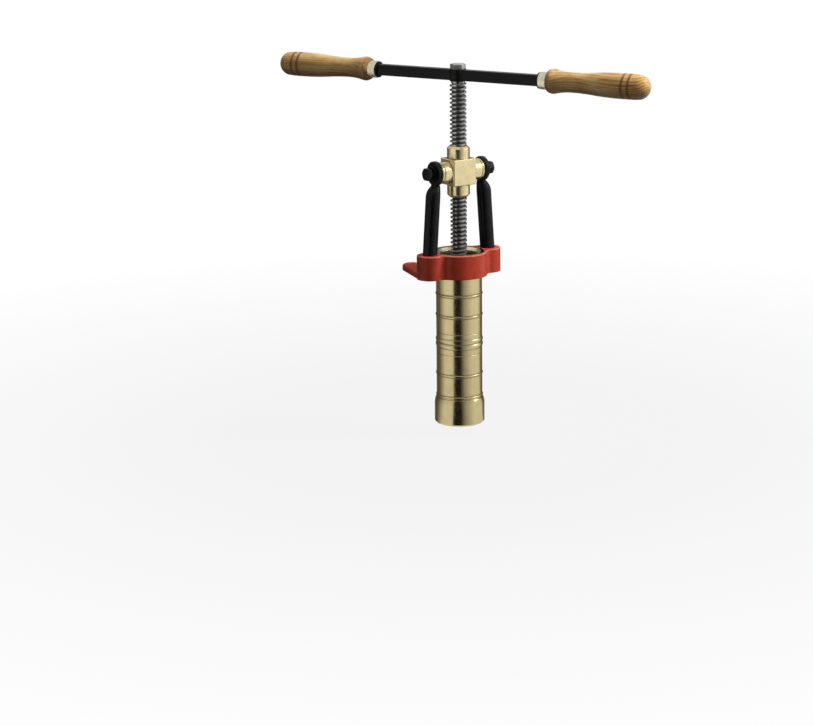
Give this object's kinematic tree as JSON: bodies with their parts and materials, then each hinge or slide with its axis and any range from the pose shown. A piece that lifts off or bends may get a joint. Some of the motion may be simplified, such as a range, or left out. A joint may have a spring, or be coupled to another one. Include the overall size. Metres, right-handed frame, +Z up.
{
  "type": "hand-cranked pasta press",
  "caption": "Bench-mounted screw press for fresh pasta: a cast flange holds a brass barrel with die and ring nut; posts carry the nut of a drive screw with a crank bar and wooden grips.",
  "frame": {"origin": "on the barrel's axis, in the plane of the flange's underside, which rests on the bench", "axes": "+Z up along the barrel and the drive screw; +X from the left post to the right post, along the pivot bolts; +Y over the bench, towards the lugs"},
  "size_m": [0.2542, 0.4886, 0.4732],
  "materials": {
    "red_paint": "gloss enamel on cast iron",
    "polished_brass": "polished",
    "die_bronze": "machined bronze",
    "black_steel": "blackened",
    "bright_steel": "machined, bright",
    "oiled_steel": "machined and oiled",
    "black_enamel": "semi-gloss enamel",
    "turned_wood": "varnished",
    "piston_seal": "white, smooth"
  },
  "bodies": {
    "press": {"flange_frame": "red_paint", "barrel": "polished_brass", "left_post": "black_enamel", "right_post": "black_enamel", "left_pivot_bolt": "black_steel", "right_pivot_bolt": "black_steel", "left_bolt_washer": "black_steel", "right_bolt_washer": "black_steel", "left_thrust_washer": "polished_brass", "right_thrust_washer": "polished_brass", "screw_nut": "polished_brass"},
    "piston": {"piston_body": "polished_brass", "piston_seal": "piston_seal", "piston_thrust_washer": "bright_steel"},
    "screw": {"power_screw": "oiled_steel", "crank_bar": "black_enamel", "crank_pin": "black_steel", "crank_cap_nut": "bright_steel", "left_ferrule": "bright_steel", "right_ferrule": "bright_steel", "left_handle": "turned_wood", "right_handle": "turned_wood", "piston_retaining_washer": "bright_steel", "piston_retaining_screw": "bright_steel"},
    "die": {"die_plate": "die_bronze"},
    "ring_nut": {"ring_nut": "polished_brass"}
  },
  "joints": [
    {"name": "piston_slide", "type": "slide", "parent": "press", "child": "piston", "axis": [0, 0, 1], "range_m": [-0.0809, 0.1733]},
    {"name": "screw_turn", "type": "hinge", "parent": "piston", "child": "screw", "pos_m": [0, 0, 0], "axis": [0, 0, 1], "range_deg": [-5292, 11340]},
    {"name": "die_slide", "type": "slide", "parent": "press", "child": "die", "axis": [0, 0, 1], "range_m": [-0.014, 0]},
    {"name": "ring_nut_turn", "type": "hinge", "parent": "die", "child": "ring_nut", "pos_m": [0, 0, 0], "axis": [0, 0, 1], "range_deg": [-2520, 0]}
  ],
  "couplings": [
    {"joint": "piston_slide", "follows": "screw_turn", "m_per_rad": 0.00087535},
    {"joint": "die_slide", "follows": "ring_nut_turn", "m_per_rad": 0.00031831}
  ]
}
